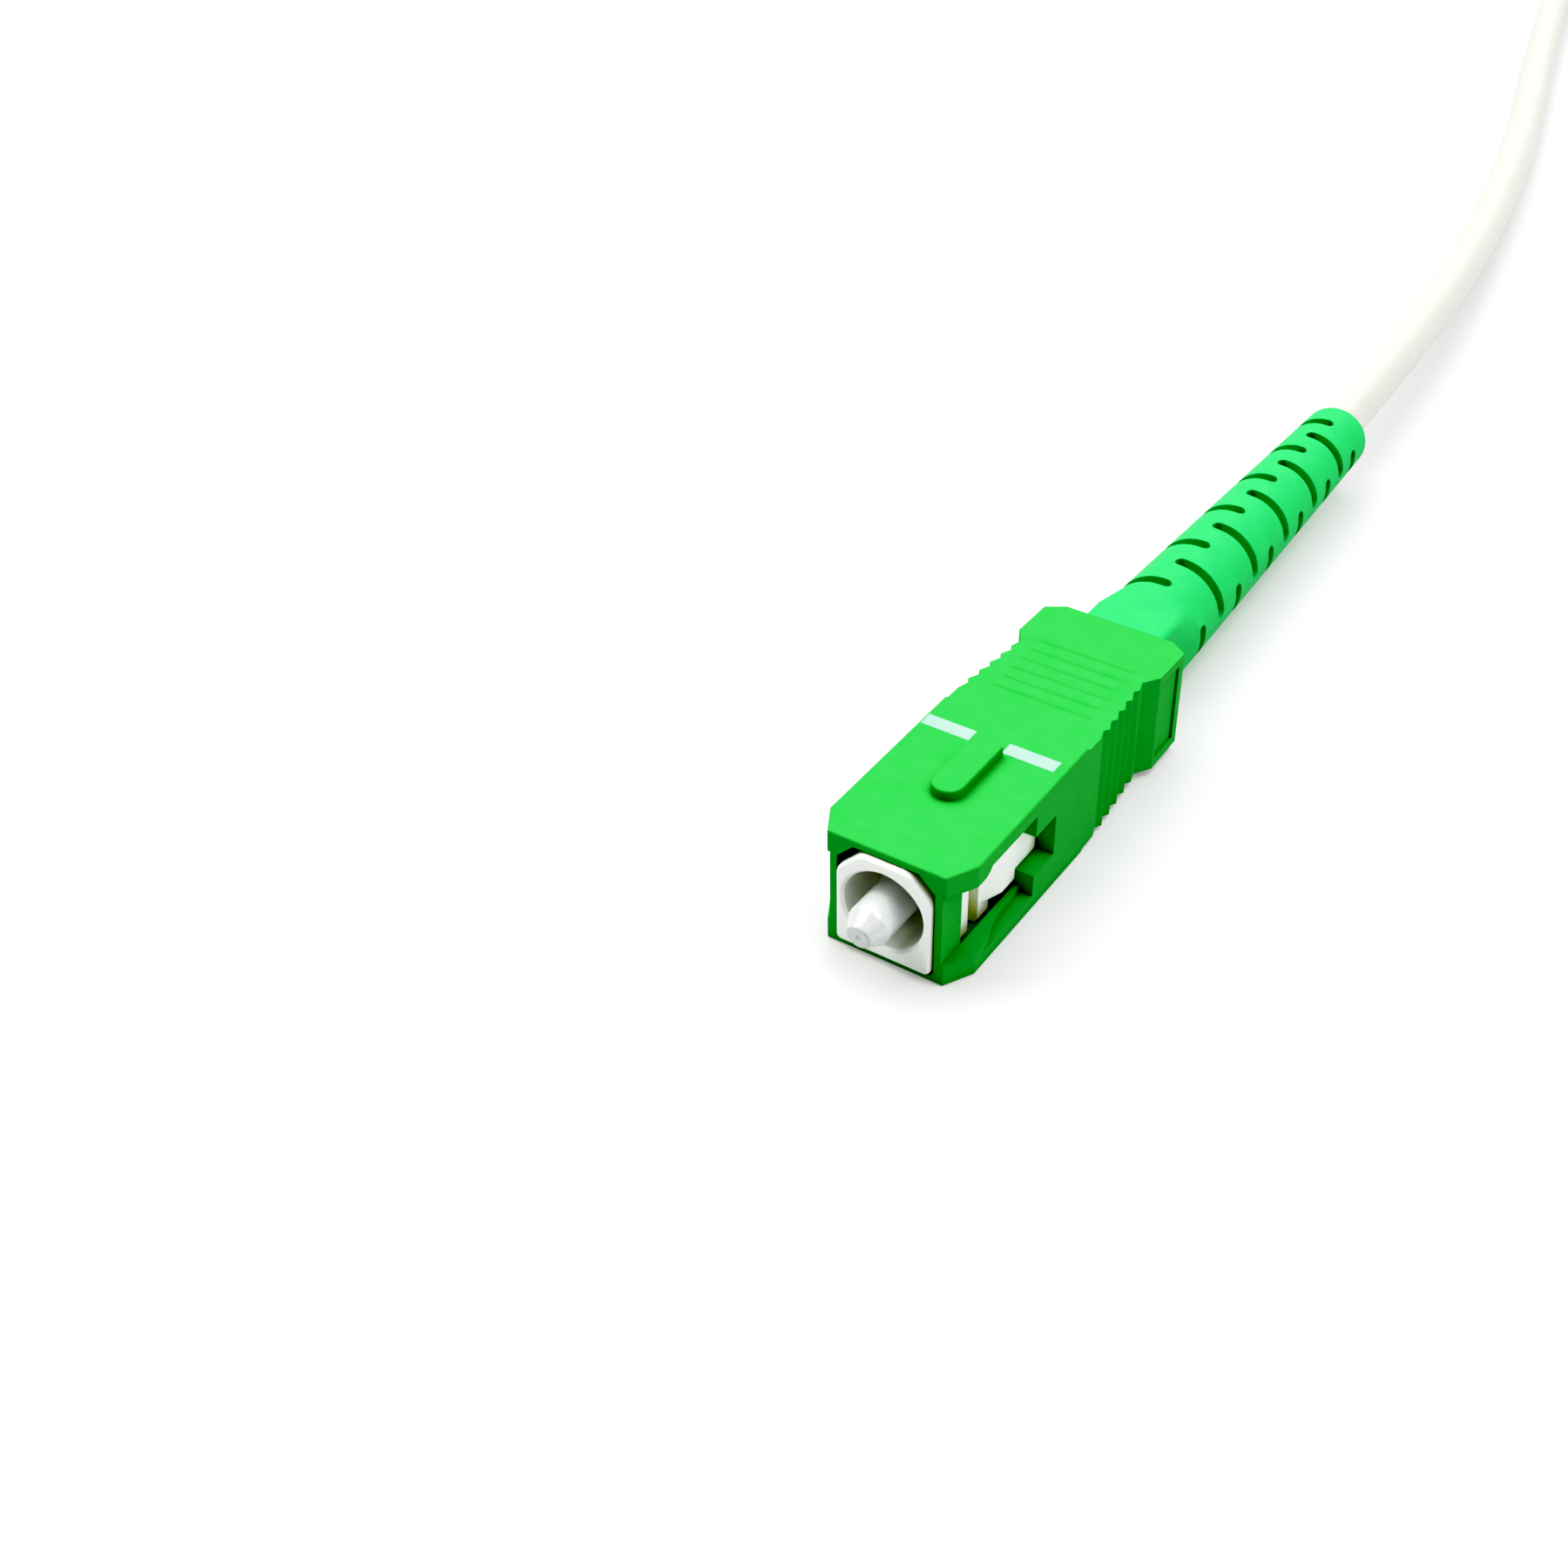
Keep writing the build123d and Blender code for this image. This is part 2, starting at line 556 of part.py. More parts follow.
def ring_slot(station, centre_angle, arc_angle):
    """One curved slot of the boot, cut down to its floor, with round ends."""
    outer = BOOT_RADIUS + 1
    depth = outer - RING_FLOOR_RADIUS
    span = arc_angle - math.degrees(RING_WIDTH / BOOT_RADIUS)
    section = Pos(RING_FLOOR_RADIUS + depth / 2, 0) * Rectangle(depth, RING_WIDTH)
    bottom = (Align.CENTER, Align.CENTER, Align.MIN)
    end = Pos(RING_FLOOR_RADIUS, 0, 0) * Rot(0, 90, 0) * Cylinder(RING_WIDTH / 2, depth, align=bottom)
    slot = revolve(section, Axis.Y, span) + end + Rot(0, span, 0) * end
    # Turning about +Y takes +X towards -Z, so angles counted towards +Z are negative turns
    return Pos(0, station, 0) * Rot(0, -centre_angle - span / 2, 0) * slot


def boot_slots():
    """The rings of slots, two to a ring, long ones and short ones in turn."""
    slots = []
    for index in range(RING_COUNT):
        station = RING_START + index * RING_PITCH - RING_CLOSING * index ** 2
        if index % 2 == 0:
            centre, arc = LONG_SLOT_CENTRE, LONG_SLOT_ANGLE
        else:
            centre, arc = SHORT_SLOT_CENTRE, SHORT_SLOT_ANGLE
        slots += [ring_slot(station, centre, arc), ring_slot(station, centre + 180, arc)]
    return slots


def boot_bore():
    """Passage through the boot: wide over the crimp sleeve, narrow on the cable."""
    wide = SLEEVE_OUTER + FIT_GAP
    neck = NECK_OUTER + FIT_GAP
    return turned([
        (STOP_END - 1, 0),
        (STOP_END - 1, wide),
        (SLEEVE_SHOULDER + SLIDE_GAP, wide),
        (SLEEVE_NECK + SLIDE_GAP, neck),
        (SLEEVE_END + FIT_GAP, neck),
        (SLEEVE_END + FIT_GAP, BOOT_BORE_RADIUS),
        (BOOT_END + 1, BOOT_BORE_RADIUS),
        (BOOT_END + 1, 0),
    ])


def strain_boot():
    """Boot that turns from a square root into a tapered round tail with rings of slots."""
    root = RectangleRounded(FRAME_REAR_SIZE, FRAME_REAR_SIZE, BOOT_ROOT_ROUND)
    body = prism(root, STOP_END, BOOT_ROOT_END)
    body += loft([
        station_plane(BOOT_ROOT_END) * root,
        station_plane(BOOT_ROUND_START) * Circle(BOOT_RADIUS),
    ])
    tail = turned([
        (BOOT_ROUND_START, 0),
        (BOOT_ROUND_START, BOOT_RADIUS),
        (BOOT_END, BOOT_END_RADIUS),
        (BOOT_END, 0),
    ])
    body += fillet(tail.edges().group_by(Axis.Y)[-1], BOOT_END_ROUND)
    return body - boot_bore() - boot_slots()


def route_radii(points):
    """Radius of the rounded turn at each inner point of the route."""
    radii = []
    for before, here, after in zip(points, points[1:], points[2:]):
        first = Vector(*here) - Vector(*before)
        second = Vector(*after) - Vector(*here)
        half_turn = math.radians(first.get_angle(second)) / 2
        radii.append(TURN_SHARE * min(first.length, second.length) / math.tan(half_turn))
    return radii


def cable_tube():
    """Cable jacket from the crimp sleeve along its route to the coil."""
    radii = route_radii(ROUTE)
    print("route radii", [round(radius, 1) for radius in radii])
    path = FilletPolyline(*ROUTE, radius=radii)
    return sweep(Plane(path @ 0, z_dir=path % 0) * Circle(CABLE_RADIUS), path)


def coil_section(half_section, arc):
    """Part of a ring of square section round the coil's mean circle, on the coil's own axis."""
    section = Pos(COIL_MEAN_RADIUS, 0) * Rectangle(2 * half_section, 2 * half_section)
    return revolve(Plane.XZ * section, Axis.Z, arc)


def coil_place():
    """Middle of the coil in the part's frame."""
    return Pos(*COIL_CENTRE, COIL_BASE + COIL_HALF_SECTION)


def cable_coil():
    """The rest of the cable as the outer shape of its coil."""
    return coil_place() * coil_section(COIL_HALF_SECTION, 360)


def coil_tie():
    """Band round the coil's section."""
    inner_half = COIL_HALF_SECTION + FIT_GAP
    band = coil_section(inner_half + TIE_THICKNESS, TIE_ARC) - coil_section(inner_half, TIE_ARC)
    return coil_place() * Rot(0, 0, TIE_ANGLE) * band


def write_parts():
    """Every node as a STEP file in parts."""
    os.makedirs("parts", exist_ok=True)
    on_axis = {
        "grip_housing": grip_housing(),
        "plug_frame": plug_frame(),
        "ferrule": ferrule(),
        "ferrule_flange": ferrule_flange(),
        "coil_spring": coil_spring(),
        "guide_tube": tube(GUIDE_START, STOP_END, GUIDE_INNER, GUIDE_RADIUS),
        "fibre_buffer": rod(FERRULE_END, STEM_END - BUFFER_INSET, BUFFER_RADIUS),
        "bare_fibre": rod(FERRULE_TIP + POLISH_DROP, FERRULE_END, FIBRE_RADIUS),
        "rear_body": rear_body(),
        "aramid_yarn": tube(YARN_START, YARN_END, YARN_INNER, YARN_OUTER),
        "crimp_sleeve": crimp_sleeve(),
        "strain_boot": strain_boot(),
    }
    nodes = {name: move_to_axis(shape) for name, shape in on_axis.items()}
    nodes["cable_tube"] = cable_tube()
    nodes["cable_coil"] = cable_coil()
    nodes["coil_tie"] = coil_tie()
    for name, shape in nodes.items():
        export_step(shape, f"parts/{name}.step")


write_parts()
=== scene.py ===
import math

import bmesh
import bpy
from mathutils import Matrix, Vector


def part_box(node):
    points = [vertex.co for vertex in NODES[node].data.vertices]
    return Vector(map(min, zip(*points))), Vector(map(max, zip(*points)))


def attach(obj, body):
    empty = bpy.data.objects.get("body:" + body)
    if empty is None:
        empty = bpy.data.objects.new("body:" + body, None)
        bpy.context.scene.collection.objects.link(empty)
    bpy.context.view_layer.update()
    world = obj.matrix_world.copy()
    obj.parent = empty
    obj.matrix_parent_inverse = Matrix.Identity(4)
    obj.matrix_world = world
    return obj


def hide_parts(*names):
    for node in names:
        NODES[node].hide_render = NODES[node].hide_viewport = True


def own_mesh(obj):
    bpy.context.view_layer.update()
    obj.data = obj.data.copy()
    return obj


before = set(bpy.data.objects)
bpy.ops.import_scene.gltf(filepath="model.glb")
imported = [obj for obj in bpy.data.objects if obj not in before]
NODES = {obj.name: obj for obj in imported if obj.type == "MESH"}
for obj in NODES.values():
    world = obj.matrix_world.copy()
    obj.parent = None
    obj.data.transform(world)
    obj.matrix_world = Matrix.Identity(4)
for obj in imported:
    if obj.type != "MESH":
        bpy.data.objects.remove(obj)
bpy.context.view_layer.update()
MM = 0.001
FULL_TURN = 2 * math.pi

# Camera, fitted to the photograph
CAMERA_PLACE = (44.81 * MM, -80.21 * MM, 79.39 * MM)
CAMERA_FORWARD = (-0.4489, 0.6468, -0.6166)
CAMERA_RIGHT = (0.8288, 0.5593, -0.0167)
CAMERA_LENS = 50.53
CAMERA_SENSOR = 36.0
CAMERA_NEAR = 1 * MM

# Cable: its route follows the part's own, and starts inside the crimp sleeve
CABLE_DIAMETER = 3.0 * MM
CABLE_ROUTE = [
    (0, 22.7 * MM, 3.7 * MM),
    (0, 63.3 * MM, 3.7 * MM),
    (-5.7 * MM, 105.1 * MM, 1.5 * MM),
    (-16.5 * MM, 145.3 * MM, 1.5 * MM),
    (-23.3 * MM, 178.4 * MM, 1.98 * MM),
]
CABLE_ORDER = 3             # order of the smooth curve
CABLE_STEPS = 6             # steps of the curve between two of its points
CABLE_ROUNDNESS = 6

# Coil of the cable, in layers that are wound inwards and outwards by turns
COIL_CENTRE = (-5.6 * MM, 182.0 * MM)
COIL_PITCH = 3.05 * MM
COIL_LOWEST = 1.975 * MM
COIL_RADII = [18.05 * MM, 15.0 * MM, 11.95 * MM]
COIL_MIDDLE_RADIUS = COIL_RADII[1]
COIL_START_ANGLE = math.radians(191.5)
COIL_LAYERS = 3
TURN_POINTS = 18
STEP_SHARE = 0.2            # share of a turn in which the cable changes track or layer
STEP_END = 0.945            # share of the turn at which that change is done
CLIMB_SWING = 1.5 * MM      # how far the cable swings aside as it climbs to the next layer

# Soft band round the coil
TIE_FROM = math.radians(20.0)
TIE_ARC = math.radians(17.0)
TIE_HALF = 4.62 * MM        # half of the band's inner width and height
TIE_CORNER = 1.55 * MM
TIE_THICKNESS = 0.38 * MM
TIE_STATIONS = 12
TIE_CORNER_POINTS = 7
TIE_SIDE_POINTS = 5
TIE_SAG = 0.10 * MM         # the band pulls in between its corners
TIE_EDGE = TIE_THICKNESS / 3
TIE_EDGE_STEPS = 2

# Spring behind the ferrule
SPRING_WIRE = 0.5 * MM
SPRING_TURNS = 5
SPRING_STATIONS = 120
SPRING_SIDES = 10

# Printed marks on the grip's top
GRIP_TOP = 7.4 * MM
MARK_SPANS = [(-4.35 * MM, -1.33 * MM), (0.74 * MM, 3.89 * MM)]
MARK_FROM = 3.90 * MM
MARK_TO = 4.86 * MM
MARK_THICKNESS = 0.012 * MM

# What the finishes share
WHITE = (1, 1, 1, 1)
EVEN = (1, 1, 1)
WHOLE = (0, 1)
CLOUD_SCALE = 900           # soft colour clouds per metre
CLOUD_DETAIL = 2.0
GRAIN_DETAIL = 3.0
NOISE_SPAN = (0.3, 0.7)     # where nearly all of the noise lies
OPENNESS_SAMPLES = 12
EDGE_SAMPLES = 6
WEAVE_SCALE = 900
WEAVE_WANDER = 0.6

# Stage
FLOOR_SIZE = 1.1
FLOOR_GAP = 0.02 * MM
FLOOR_COLOUR = (0.46, 0.46, 0.46, 1)
FLOOR_GLOW = 0.24
WORLD_LIGHT = 0.03          # how far the surroundings light the connector
WORLD_SEEN = 1.0            # how bright they are behind the floor's edge
LIGHTS = [                  # name, place, size and power
    ("overhead", (-0.28, 0.28, 0.80), 1.1, 17),
    ("left_box", (-0.45, -0.22, 0.47), 0.35, 2.4),
    ("right_box", (0.36, 0.04, 0.58), 0.45, 3.0),
    ("low_box", (0.66, 0.30, 0.16), 0.40, 1.4),
]

# Tone curve of the picture: deep shadows and bright pale tones
TONE_CURVE = 3              # the curve for all three colours together
TONE_POINTS = [(0.05, 0.003), (0.2, 0.175), (0.4, 0.405), (0.5, 0.57), (0.6, 0.72), (0.8, 0.86)]


def link(obj):
    """Puts a new object in the scene."""
    bpy.context.scene.collection.objects.link(obj)
    return obj


def mesh_object(name, shape, material, smooth=False):
    """A new object from a finished shape. Its four-sided faces are shaded smooth where asked."""
    mesh = bpy.data.meshes.new(name)
    shape.to_mesh(mesh)
    shape.free()
    for face in mesh.polygons:
        face.use_smooth = smooth and len(face.vertices) == 4
    mesh.materials.append(material)
    return link(bpy.data.objects.new(name, mesh))


def skin(shape, loops):
    """Faces between each closed loop of points and the next one."""
    for before, after in zip(loops, loops[1:]):
        for index in range(len(before)):
            following = (index + 1) % len(before)
            shape.faces.new((before[index], before[following], after[following], after[index]))


def new_material(name):
    """An empty node material, its tree and its main shader."""
    material = bpy.data.materials.new(name)
    material.use_nodes = True
    return material, material.node_tree, material.node_tree.nodes["Principled BSDF"]


def set_values(shader, values):
    """Sets the values that are the same all over a surface on the shader itself."""
    for socket, value in values.items():
        shader.inputs[socket].default_value = value


def noise(tree, scale, detail, stretch=EVEN):
    """Noise in the object's own coordinates, with scale in features per metre."""
    where = tree.nodes.new("ShaderNodeTexCoord")
    mapping = tree.nodes.new("ShaderNodeMapping")
    mapping.inputs["Scale"].default_value = stretch
    node = tree.nodes.new("ShaderNodeTexNoise")
    node.inputs["Scale"].default_value = scale
    node.inputs["Detail"].default_value = detail
    tree.links.new(where.outputs["Object"], mapping.inputs["Vector"])
    tree.links.new(mapping.outputs["Vector"], node.inputs["Vector"])
    return node.outputs["Fac"]


def spread(tree, value, source, target):
    """A number moved from the source range to the target range, and held inside it."""
    node = tree.nodes.new("ShaderNodeMapRange")
    node.inputs["From Min"].default_value = source[0]
    node.inputs["From Max"].default_value = source[1]
    node.inputs["To Min"].default_value = target[0]
    node.inputs["To Max"].default_value = target[1]
    tree.links.new(value, node.inputs["Value"])
    return node.outputs["Result"]


def mixed_colour(tree, factor, first, second):
    """A colour between two, each of them a plain colour or another node's output."""
    node = tree.nodes.new("ShaderNodeMix")
    node.data_type = "RGBA"
    tree.links.new(factor, node.inputs["Factor"])
    for socket, colour in (("A", first), ("B", second)):
        if isinstance(colour, tuple):
            node.inputs[socket].default_value = (*colour, 1)
        else:
            tree.links.new(colour, node.inputs[socket])
    return node.outputs["Result"]


def openness(tree, reach, limits):
    """How open the surface lies to its surroundings, from 0 deep in a hollow to 1; it sets where shade
    is painted into a colour.
    """
    node = tree.nodes.new("ShaderNodeAmbientOcclusion")
    node.samples = OPENNESS_SAMPLES
    node.inputs["Distance"].default_value = reach
    return spread(tree, node.outputs["AO"], limits, WHOLE)


def bump(tree, height, distance, edge=0.0):
    """A bumped normal from a height, with the sharp edges eased by a moulding radius."""
    node = tree.nodes.new("ShaderNodeBump")
    node.inputs["Distance"].default_value = distance
    tree.links.new(height, node.inputs["Height"])
    if edge:
        eased = tree.nodes.new("ShaderNodeBevel")
        eased.samples = EDGE_SAMPLES
        eased.inputs["Radius"].default_value = edge
        tree.links.new(eased.outputs["Normal"], node.inputs["Normal"])
    return node.outputs["Normal"]


def finish(name, colours, roughness, grain, depth, stretch=EVEN, painted_shade=None, edge=0.0, values=None):
    """A finish with a cloudy colour and a fine grain in gloss and normal.

    Painted shade darkens the colour in hollows and recesses: it is given as the shade's colour, how far
    it looks for neighbours, and the openness where it starts and ends.
    """
    material, tree, shader = new_material(name)
    clouds = spread(tree, noise(tree, CLOUD_SCALE, CLOUD_DETAIL), NOISE_SPAN, WHOLE)
    colour = mixed_colour(tree, clouds, *colours)
    if painted_shade:
        shade_colour, reach, limits = painted_shade
        colour = mixed_colour(tree, openness(tree, reach, limits), shade_colour, colour)
    tree.links.new(colour, shader.inputs["Base Color"])
    fine = noise(tree, grain, GRAIN_DETAIL, stretch)
    tree.links.new(spread(tree, fine, NOISE_SPAN, roughness), shader.inputs["Roughness"])
    tree.links.new(bump(tree, fine, depth, edge), shader.inputs["Normal"])
    set_values(shader, values or {})
    return material


def grip_plastic():
    """Bright green moulded plastic with a fine satin grain, and shade painted into its recesses."""
    return finish(
        "grip_plastic",
        colours=((0.044, 0.306, 0.064), (0.049, 0.322, 0.070)),
        roughness=(0.42, 0.50),
        grain=9000,
        depth=0.004 * MM,
        painted_shade=((0.012, 0.17, 0.018), 1.2 * MM, (0.25, 0.80)),
        edge=0.10 * MM,
        values={"IOR": 1.06},
    )


def boot_rubber():
    """Lighter, softer green of the boot, with dark shade painted into its slots and hollows."""
    return finish(
        "boot_rubber",
        colours=((0.047, 0.405, 0.116), (0.052, 0.425, 0.124)),
        roughness=(0.45, 0.58),
        grain=7000,
        depth=0.005 * MM,
        painted_shade=((0.004, 0.085, 0.008), 0.8 * MM, (0.30, 0.85)),
        edge=0.12 * MM,
        values={"IOR": 1.10},
    )


def frame_plastic():
    """White moulded plastic of the inner frame, with warm olive shade painted into its recesses."""
    return finish(
        "frame_plastic",
        colours=((0.81, 0.85, 0.81), (0.84, 0.88, 0.84)),
        roughness=(0.34, 0.44),
        grain=8000,
        depth=0.003 * MM,
        painted_shade=((0.74, 0.75, 0.34), 2.0 * MM, (0.18, 0.54)),
        edge=0.10 * MM,
    )


def ceramic():
    """Polished white ferrule ceramic."""
    return finish(
        "ferrule_ceramic",
        colours=((0.49, 0.515, 0.505), (0.52, 0.545, 0.535)),
        roughness=(0.09, 0.16),
        grain=5000,
        depth=0.0004 * MM,
        edge=0.22 * MM,
        values={"IOR": 1.7},
    )


def metal(name, colours, roughness, stretch):
    """Bare metal with the fine lines of its making."""
    return finish(
        name,
        colours=colours,
        roughness=roughness,
        grain=4000,
        depth=0.002 * MM,
        stretch=stretch,
        values={"Metallic": 1.0},
    )


def plated_brass():
    """Turned brass with a pale nickel plating."""
    colours = (0.62, 0.60, 0.55), (0.68, 0.66, 0.60)
    return metal("plated_brass", colours, roughness=(0.18, 0.30), stretch=(1, 8, 1))


def spring_steel():
    """Drawn steel wire."""
    colours = (0.52, 0.52, 0.53), (0.60, 0.60, 0.61)
    return metal("spring_steel", colours, roughness=(0.25, 0.40), stretch=(3, 1, 3))


def sleeve_steel():
    """Plain drawn sleeve with lines along its length."""
    colours = (0.58, 0.58, 0.58), (0.64, 0.64, 0.64)
    return metal("sleeve_steel", colours, roughness=(0.28, 0.42), stretch=(6, 0.4, 6))


def guide_plastic():
    """Milky guide tube."""
    return finish(
        "guide_plastic",
        colours=((0.78, 0.78, 0.76), (0.84, 0.84, 0.82)),
        roughness=(0.25, 0.36),
        grain=5000,
        depth=0.003 * MM,
        values={"Subsurface Weight": 0.4, "Subsurface Scale": 0.4 * MM},
    )


def buffer_plastic():
    """White coating of the buffered fibre."""
    return finish(
        "buffer_plastic",
        colours=((0.82, 0.82, 0.79), (0.87, 0.87, 0.84)),
        roughness=(0.38, 0.5),
        grain=7000,
        depth=0.003 * MM,
        stretch=(1, 0.3, 1),
    )


def fibre_glass():
    """Glass of the bare fibre."""
    return finish(
        "fibre_glass",
        colours=((0.93, 0.96, 0.97), (0.96, 0.98, 0.99)),
        roughness=(0.02, 0.05),
        grain=9000,
        depth=0.0002 * MM,
        values={"Transmission Weight": 0.4, "IOR": 1.46},
    )


def yarn():
    """Yellow strength yarn, combed along the cable."""
    return finish(
        "aramid_yarn",
        colours=((0.62, 0.44, 0.06), (0.78, 0.60, 0.14)),
        roughness=(0.45, 0.65),
        grain=6000,
        depth=0.03 * MM,
        stretch=(1, 0.06, 1),
    )


def jacket():
    """Smooth ivory cable jacket that lets a little light through."""
    return finish(
        "cable_jacket",
        colours=((0.435, 0.44, 0.392), (0.46, 0.465, 0.417)),
        roughness=(0.42, 0.52),
        grain=6000,
        depth=0.006 * MM,
        values={
            "Subsurface Weight": 1.0,
            "Subsurface Radius": (1.0, 0.95, 0.85),
            "Subsurface Scale": 3.5 * MM,
        },
    )


def print_ink():
    """Pale ink of the marks."""
    return finish(
        "print_ink",
        colours=((0.185, 0.365, 0.275), (0.21, 0.39, 0.30)),
        roughness=(0.45, 0.55),
        grain=9000,
        depth=0.002 * MM,
    )


def threads(tree, direction):
    """Waves of the band's threads in one direction."""
    where = tree.nodes.new("ShaderNodeTexCoord")
    wave = tree.nodes.new("ShaderNodeTexWave")
    wave.bands_direction = direction
    wave.inputs["Scale"].default_value = WEAVE_SCALE
    wave.inputs["Distortion"].default_value = WEAVE_WANDER
    tree.links.new(where.outputs["Object"], wave.inputs["Vector"])
    return wave.outputs["Fac"]


def tie_fabric():
    """Woven band with a fine cross weave."""
    material, tree, shader = new_material("tie_fabric")
    weave = tree.nodes.new("ShaderNodeMath")
    weave.operation = "MULTIPLY"
    for socket, direction in zip(weave.inputs, ("X", "Z")):
        tree.links.new(threads(tree, direction), socket)
    height = weave.outputs["Value"]
    colour = mixed_colour(tree, height, (0.50, 0.50, 0.48), (0.72, 0.72, 0.70))
    tree.links.new(colour, shader.inputs["Base Color"])
    tree.links.new(spread(tree, height, WHOLE, (0.75, 0.9)), shader.inputs["Roughness"])
    tree.links.new(bump(tree, height, 0.06 * MM), shader.inputs["Normal"])
    set_values(shader, {"Sheen Weight": 0.3})
    return material


def coil_tracks():
    """Radius and height of each of the coil's turns, and of the track that the free end leans to."""
    tracks = []
    for layer in range(COIL_LAYERS):
        radii = COIL_RADII if layer % 2 == 0 else COIL_RADII[::-1]
        tracks += [(radius, COIL_LOWEST + layer * COIL_PITCH) for radius in radii]
    last_radius, last_height = tracks[-1]
    return tracks + [(last_radius - COIL_PITCH, last_height)]


def coil_points():
    """Control points of the coil's turns. Each turn leaves its track before it meets its own start."""
    tracks = coil_tracks()
    points = []
    swell = 1 / math.cos(math.pi / TURN_POINTS)
    for step in range(1, (len(tracks) - 1) * TURN_POINTS):
        turn, place = divmod(step, TURN_POINTS)
        radius, height = tracks[turn]
        next_radius, next_height = tracks[turn + 1]
        share = min(1.0, max(0.0, 1 + (place / TURN_POINTS - STEP_END) / STEP_SHARE))
        if next_height > height:
            aside = math.copysign(CLIMB_SWING, radius - COIL_MIDDLE_RADIUS)
            radius += aside * math.sin(math.pi * share)
        else:
            radius += (next_radius - radius) * share
        height += (next_height - height) * share
        angle = COIL_START_ANGLE - FULL_TURN * step / TURN_POINTS
        points.append((
            COIL_CENTRE[0] + swell * radius * math.cos(angle),
            COIL_CENTRE[1] + swell * radius * math.sin(angle),
            height,
        ))
    return points


def cable(tie):
    """The cable as one smooth curve: its route, and then the coil's turns."""
    curve = bpy.data.curves.new("cable", "CURVE")
    curve.dimensions = "3D"
    curve.bevel_depth = CABLE_DIAMETER / 2
    curve.bevel_resolution = CABLE_ROUNDNESS
    curve.resolution_u = CABLE_STEPS
    curve.use_fill_caps = True
    points = CABLE_ROUTE + coil_points()
    spline = curve.splines.new("NURBS")
    spline.points.add(len(points) - 1)
    for point, place in zip(spline.points, points):
        point.co = (*place, 1)
    spline.order_u = CABLE_ORDER
    spline.use_endpoint_u = True
    piece = link(bpy.data.objects.new("cable", curve))
    piece.data.materials.append(jacket())
    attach(piece, "plug")
    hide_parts("cable_tube", "cable_coil")


def tie_section(half, corner):
    """Points round the band's section, out from the coil's mean circle and up from its middle."""
    points = []
    for side in range(4):
        turn = Matrix.Rotation(side * FULL_TURN / 4, 2)
        for step in range(TIE_CORNER_POINTS):
            angle = FULL_TURN / 4 * step / (TIE_CORNER_POINTS - 1)
            place = Vector((math.cos(angle), math.sin(angle))) * corner
            points.append(turn @ (place + Vector((half - corner, half - corner))))
        for step in range(1, TIE_SIDE_POINTS):
            share = step / TIE_SIDE_POINTS
            across = (1 - 2 * share) * (half - corner)
            points.append(turn @ Vector((across, half - TIE_SAG * math.sin(math.pi * share))))
    return points


def tie_loops(shape, section):
    """A section of the band, set at each station along the coil."""
    middle_height = COIL_LOWEST + COIL_PITCH
    loops = []
    for station in range(TIE_STATIONS + 1):
        angle = TIE_FROM + TIE_ARC * station / TIE_STATIONS
        loops.append([
            shape.verts.new((
                COIL_CENTRE[0] + (COIL_MIDDLE_RADIUS + out) * math.cos(angle),
                COIL_CENTRE[1] + (COIL_MIDDLE_RADIUS + out) * math.sin(angle),
                middle_height + up,
            ))
            for out, up in section
        ])
    return loops


def coil_tie():
    """Soft woven band that holds the coil's turns together."""
    shape = bmesh.new()
    inner = tie_loops(shape, tie_section(TIE_HALF, TIE_CORNER))
    outer = tie_loops(shape, tie_section(TIE_HALF + TIE_THICKNESS, TIE_CORNER + TIE_THICKNESS))
    skin(shape, inner)
    skin(shape, outer)
    for end in (0, -1):
        skin(shape, [inner[end], outer[end]])
    bmesh.ops.recalc_face_normals(shape, faces=shape.faces)
    piece = mesh_object("tie_band", shape, tie_fabric(), smooth=True)
    edge = piece.modifiers.new("soft_edge", "BEVEL")
    edge.width = TIE_EDGE
    edge.segments = TIE_EDGE_STEPS
    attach(piece, "plug")
    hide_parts("coil_tie")
    return piece


def wire_rings(shape, start, mean_radius, length):
    """Rings of points round the spring's wire, along its helix."""
    rise = length / (FULL_TURN * SPRING_TURNS)
    rings = []
    for station in range(SPRING_STATIONS + 1):
        turn = FULL_TURN * SPRING_TURNS * station / SPRING_STATIONS
        outward = Vector((math.cos(turn), 0, -math.sin(turn)))
        along = Vector((-math.sin(turn) * mean_radius, rise, -math.cos(turn) * mean_radius))
        across = along.normalized().cross(outward)
        middle = start + outward * mean_radius + Vector((0, rise * turn, 0))
        ring = []
        for side in range(SPRING_SIDES):
            angle = FULL_TURN * side / SPRING_SIDES
            reach = outward * math.cos(angle) + across * math.sin(angle)
            ring.append(shape.verts.new(middle + reach * SPRING_WIRE / 2))
        rings.append(ring)
    return rings


def spring():
    """The ferrule's spring, wound anew as a helix of wire."""
    low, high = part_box("coil_spring")
    start = Vector(((low[0] + high[0]) / 2, low[1] + SPRING_WIRE / 2, (low[2] + high[2]) / 2))
    mean_radius = (high[0] - low[0] - SPRING_WIRE) / 2
    shape = bmesh.new()
    rings = wire_rings(shape, start, mean_radius, high[1] - low[1] - SPRING_WIRE)
    skin(shape, rings)
    for end in (0, -1):
        shape.faces.new(rings[end])
    bmesh.ops.recalc_face_normals(shape, faces=shape.faces)
    piece = mesh_object("ferrule_spring_wire", shape, spring_steel(), smooth=True)
    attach(piece, "plug")
    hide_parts("coil_spring")
    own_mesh(piece)


